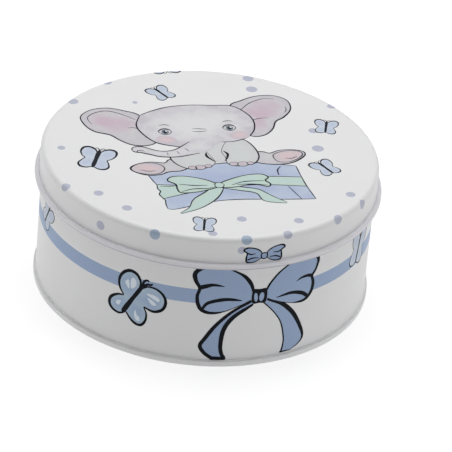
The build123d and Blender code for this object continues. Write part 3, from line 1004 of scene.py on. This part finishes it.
ELEPHANT_LIFT = 2.5  # layers that the elephant is printed above the gift box that it sits on


class TIN_OT_lid_picture(bpy.types.Operator):
    """Prints the elephant and the gift box on the lid"""
    bl_idname = "tin.lid_picture"
    bl_label = "Lid picture"

    def execute(self, context):
        mm = shop_sizes()
        box = printed("print_gift_box", gift_box(), on_lid(mm), ink_set("box", "mint", "line"), mm)
        inks = ink_set("hide", "crown", "pale", "rose", "blush", "iris", "line")
        inks["coat"] = sheet_finishes()[0]
        shapes = elephant()
        for shape in shapes:
            shape.layer += ELEPHANT_LIFT
        animal = printed("print_elephant", shapes, on_lid(mm), inks, mm)
        for piece in (box, animal):
            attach(piece, "lid")
        return {"FINISHED"}


class TIN_OT_lid_motifs(bpy.types.Operator):
    """Prints the butterflies and dots on the lid and its skirt, and the skirt's little bows"""
    bl_idname = "tin.lid_motifs"
    bl_label = "Lid motifs"

    def execute(self, context):
        mm = shop_sizes()
        flies = sum((butterfly(*place) for place in LID_BUTTERFLIES), [])
        dots = [disc((x, y), radius, "dot") for x, y, radius in LID_DOTS]
        dots += [disc((x, y), radius, "blue_dot") for x, y, radius in LID_BLUE_DOTS]
        low_dots = [disc((s, z), radius, "dot") for s, z, radius in SKIRT_DOTS]
        bows = sum((small_bow(middle) for middle in SKIRT_BOWS), [])
        skirt = on_wall(mm.lid_radius)
        pieces = [printed("print_lid_butterflies", flies, on_lid(mm), ink_set("wing", "line"), mm),
                  printed("print_lid_dots", dots, on_lid(mm), ink_set("dot", "blue_dot"), mm),
                  printed("print_skirt_dots", low_dots, skirt, ink_set("dot"), mm),
                  printed("print_skirt_bows", bows, skirt, ink_set("ribbon", "brush"), mm)]
        for piece in pieces:
            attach(piece, "lid")
        return {"FINISHED"}


# ---- the print on the body ----


BOW_BRUSH = 0.9  # share of the widths listed for the large bow that its brush is drawn at
BACK = 250  # millimetres round the body to the second bow and butterfly, which end short of the side seam
BOW = (34, 44)  # middle of the front bow's knot
BAND_LOW, BAND_HIGH = 40.0, 48.8
BAND_JOIN = -21  # degrees round from the front to where the band's ends meet, under the large butterfly
BAND_GAP = 1.5  # millimetres from there to each end


def big_bow(middle, layer=2):
    """The large tied bow over the band: two tails, two loops and a knot, inked with a broad brush.

    Points are from the knot's middle. A loop's line starts over the knot and ends under it.
    """
    # Each tail is its two edges, the brush's widths along each of them, and those across its end.
    tails = [
        ([(-3.5, -2.5), (-14, -8.5), (-22.5, -17), (-28.5, -26.5), (-30.8, -31.3), (-28.4, -35.6),
          (-24, -39)],
         [(-3, -4.6), (-13.3, -12), (-18.4, -20), (-19.6, -30), (-18.7, -36), (-16.6, -39.2)],
         (1.2, 1.8, 2.3, 2.6, 2.5, 2.4), (1.4, 2.5, 3.0, 2.9, 2.5, 2.2), (2.4, 2.2)),
        ([(2.5, -4), (9, -11), (14.2, -19), (16.9, -29), (17, -35), (16.2, -39)],
         [(4.5, -2.5), (13.5, -6.6), (21.5, -14.6), (27.4, -25), (29.8, -32), (27.8, -36), (22.3, -39.2)],
         (0.9, 0.8, 0.8, 1.0, 1.0, 1.3), (1.2, 2.6, 3.0, 2.8, 2.3, 0.9, 0.3), (1.4, 0.3))]
    # Each loop and each fold is a line and the brush's widths along it.
    loops = [
        ([(-3.5, 3), (-5.4, 8.4), (-9.4, 13.6), (-15.6, 17.4), (-22, 20.2), (-28, 20.2), (-31.6, 18.9),
          (-34.6, 17.4), (-36.7, 14.4), (-35.9, 10.2), (-33.5, 5.6), (-34.5, 0.5), (-33.6, -5),
          (-31.2, -8.4), (-26.5, -9.8), (-20, -8.9), (-12, -5.7), (-4.5, -2)],
         (1.6, 2.1, 2.5, 2.3, 1.4, 1.0, 1.0, 1.2, 2.7, 2.9, 2.1, 2.0, 2.5, 2.4, 1.7, 0.8, 0.5, 0.5, 0.6,
          1.0)),
        ([(3.5, 3), (6, 8), (10.5, 13.5), (16, 17.5), (22, 20.3), (29, 20.2), (34.4, 18.3), (36.2, 14.8),
          (34.8, 9.5), (32.6, 6), (33.7, 1.5), (33.2, -3.3), (30.8, -7), (27, -8.6), (20, -7.9),
          (12, -5.2), (4.5, -2)],
         (1.4, 1.4, 1.3, 1.3, 1.1, 1.0, 1.4, 2.7, 2.4, 1.7, 2.0, 2.6, 2.4, 1.7, 0.5, 0.4, 0.4, 0.5, 0.9))]
    folds = [([(-34, 5.8), (-30, 7.2), (-26, 8.2), (-20, 7.4)], (2.8, 2.6, 1.5, 0.3)),
             ([(-31.4, -7.8), (-28.8, -3.8), (-23, -1.6), (-17, -0.9), (-9.5, -1.9)],
              (1.4, 2.0, 2.3, 1.8, 0.3)),
             ([(32.6, 6), (29.6, 7.1), (25.4, 6.9), (22, 5.4)], (2.4, 1.9, 1.3, 0.3)),
             ([(31, -7), (26.5, -3.3), (19, -1.2), (10, -2.4)], (1.9, 2.4, 1.7, 0.3))]
    shapes = []
    for left, right, left_widths, right_widths, end_widths in tails:
        # The stroke across the end runs a little past both edges.
        left, right = smooth(placed(left, middle)), smooth(placed(right, middle))
        shapes += [band(left, right, "ribbon", layer),
                   stroke(left, BOW_BRUSH * np.array(left_widths), "brush", layer + 0.6),
                   stroke(right, BOW_BRUSH * np.array(right_widths), "brush", layer + 0.6),
                   stroke(line(1.16 * left[-1] - 0.16 * right[-1], 1.08 * right[-1] - 0.08 * left[-1], 8),
                          end_widths, "brush", layer + 0.7, count=24)]
    for loop, widths in loops:
        centre = placed([(np.sign(loop[0][0]) * 18, 4)], middle)[0]
        curve = smooth(placed(loop, middle))
        shapes += [fill(curve, "ribbon", layer + 1.2, centre, count=110),
                   stroke(curve, BOW_BRUSH * np.array(widths), "brush", layer + 1.8, count=130)]
    for fold, widths in folds:
        shapes += [stroke(smooth(placed(fold, middle)), widths, "brush", layer + 2.2)]
    knot = smooth(placed([(-4, 4.3), (0, 4.6), (4, 4.3), (4, -3.8), (0, -4.2), (-4, -3.8)], middle), True)
    shapes += [fill(knot, "brush", layer + 2.6, count=48)]
    for side, squeeze in ((-2.0, 0.36), (1.3, 0.48)):
        gap = oval((middle[0] + side, middle[1] - 0.4), 2.9, -3 * side, squeeze)
        shapes += [fill(gap, "ribbon", layer + 3, count=30, rings=2)]
    return shapes


class TIN_OT_body_print(bpy.types.Operator):
    """Prints the band round the body, its large bow and the butterflies"""
    bl_idname = "tin.body_print"
    bl_label = "Body print"

    def execute(self, context):
        mm = shop_sizes()
        wall = on_wall(mm.wall_radius)
        half = pi * mm.wall_radius
        join = half * BAND_JOIN / 180
        start, end = join + BAND_GAP, join + 2 * half - BAND_GAP
        low, high = (line((start, z), (end, z), 2) for z in (BAND_LOW, BAND_HIGH))
        strip = printed("print_body_band", [band(low, high, "ribbon", 0.5, across=3, count=361)], wall,
                        ink_set("ribbon"), mm)
        bow = printed("print_body_bow", big_bow(BOW) + big_bow((BOW[0] + BACK, BOW[1])), wall,
                      ink_set("ribbon", "brush"), mm)
        behind = large_butterfly()
        for shape in behind:
            shape.rows = shape.rows + (BACK, 0)
        flies = printed("print_body_butterfly", large_butterfly() + behind, wall,
                        ink_set("sky", "brush", "shine"), mm)
        small = sum((butterfly(*place, layer=2) for place in BODY_BUTTERFLIES), [])
        small_flies = printed("print_body_small_butterflies", small, wall, ink_set("wing", "line"), mm)
        for piece in (strip, bow, flies, small_flies):
            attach(piece, "tin_body")
        return {"FINISHED"}


# ---- stage, lights and camera ----


def softbox(name, place, aim, side, watts):
    """A square area light at place, facing aim."""
    light = bpy.data.lights.new(name, "AREA")
    light.shape = "RECTANGLE"
    light.size, light.size_y = side, side
    light.energy = watts
    lamp = bpy.data.objects.new(name, light)
    lamp.location = place
    lamp.rotation_euler = (Vector(aim) - Vector(place)).to_track_quat("-Z", "Y").to_euler()
    bpy.context.scene.collection.objects.link(lamp)


def floor_material(glow):
    """Opal acrylic table, lit from below: matt white, with a glow that keeps the shadows on it faint."""
    material, _, shader = new_material("opal_table")
    set_sockets(shader, {"Base Color": (0.38, 0.38, 0.38, 1), "Roughness": 0.9, "Specular IOR Level": 0.1,
                         "Emission Color": (1, 1, 1, 1), "Emission Strength": glow})
    return material


class TIN_OT_stage(bpy.types.Operator):
    """Adds the pale floor, the soft lights and the camera"""
    bl_idname = "tin.stage"
    bl_label = "Stage"

    def execute(self, context):
        scene = context.scene
        studio = scene.tin_studio
        half = 6.0  # metres from the tin to each edge of the floor
        mesh = bpy.data.meshes.new("floor")
        mesh.from_pydata([(-half, -half, 0), (half, -half, 0), (half, half, 0), (-half, half, 0)], [],
                         [(0, 1, 2, 3)])
        mesh.materials.append(floor_material(studio.table))
        ground = bpy.data.objects.new("floor", mesh)
        scene.collection.objects.link(ground)

        middle = (0.0, 0.0, 0.04)  # about half way up the tin
        softbox("overhead", (0.0, 0.25, 1.2), middle, 1.4, studio.overhead)
        softbox("left_side", (-1.3, -0.1, 0.5), middle, 0.8, studio.left)
        softbox("right_side", (1.3, -0.2, 0.5), middle, 0.8, studio.right)

        world = bpy.data.worlds.new("studio_room")
        world.use_nodes = True
        set_sockets(world.node_tree.nodes["Background"], {"Color": (1, 1, 1, 1), "Strength": studio.sky})
        scene.world = world
        scene.view_settings.view_transform = "Standard"

        place = studio.distance * Vector((0, -cos(studio.elevation), sin(studio.elevation)))
        ahead = (Vector(studio.aim) - place).normalized()
        right = ahead.cross(Vector((0, 0, 1))).normalized()
        up = right.cross(ahead)
        c, s = cos(studio.roll), sin(studio.roll)
        turned_right, turned_up = c * right + s * up, c * up - s * right
        camera_data = bpy.data.cameras.new("camera")
        camera_data.lens = studio.lens
        camera_data.clip_end = 20.0
        camera = bpy.data.objects.new("camera", camera_data)
        axes = Matrix((turned_right, turned_up, -ahead)).transposed()
        camera.matrix_world = Matrix.Translation(place) @ axes.to_4x4()
        scene.collection.objects.link(camera)
        scene.camera = camera
        return {"FINISHED"}


class TIN_PT_panel(bpy.types.Panel):
    """Lists the tin's settings and its operators"""
    bl_idname = "TIN_PT_panel"
    bl_label = "Cookie Tin"
    bl_space_type = "VIEW_3D"
    bl_region_type = "UI"
    bl_category = "Cookie Tin"

    def draw(self, context):
        for step in STEPS:
            self.layout.operator(step.bl_idname)
        for group in (context.scene.tin_sizes, context.scene.tin_colours, context.scene.tin_studio):
            box = self.layout.box()
            for key in group.__annotations__:
                box.prop(group, key)


STEPS = (TIN_OT_lid_shell, TIN_OT_body_shell, TIN_OT_lid_picture, TIN_OT_lid_motifs, TIN_OT_body_print,
         TIN_OT_stage)
GROUPS = {"tin_sizes": TinSizes, "tin_colours": TinColours, "tin_studio": TinStudio}


def register():
    """Registers every class, and adds the settings to the scene."""
    for kind in (*GROUPS.values(), *STEPS, TIN_PT_panel):
        bpy.utils.register_class(kind)
    for name, kind in GROUPS.items():
        setattr(bpy.types.Scene, name, PointerProperty(type=kind))


def unregister():
    """Takes the settings and every class away again."""
    for name in GROUPS:
        delattr(bpy.types.Scene, name)
    for kind in reversed((*GROUPS.values(), *STEPS, TIN_PT_panel)):
        bpy.utils.unregister_class(kind)


def main():
    """Makes the whole tin and its stage."""
    register()
    bpy.ops.tin.lid_shell()
    bpy.ops.tin.body_shell()
    bpy.ops.tin.lid_picture()
    bpy.ops.tin.lid_motifs()
    bpy.ops.tin.body_print()
    bpy.ops.tin.stage()


if __name__ == "__main__":
    main()
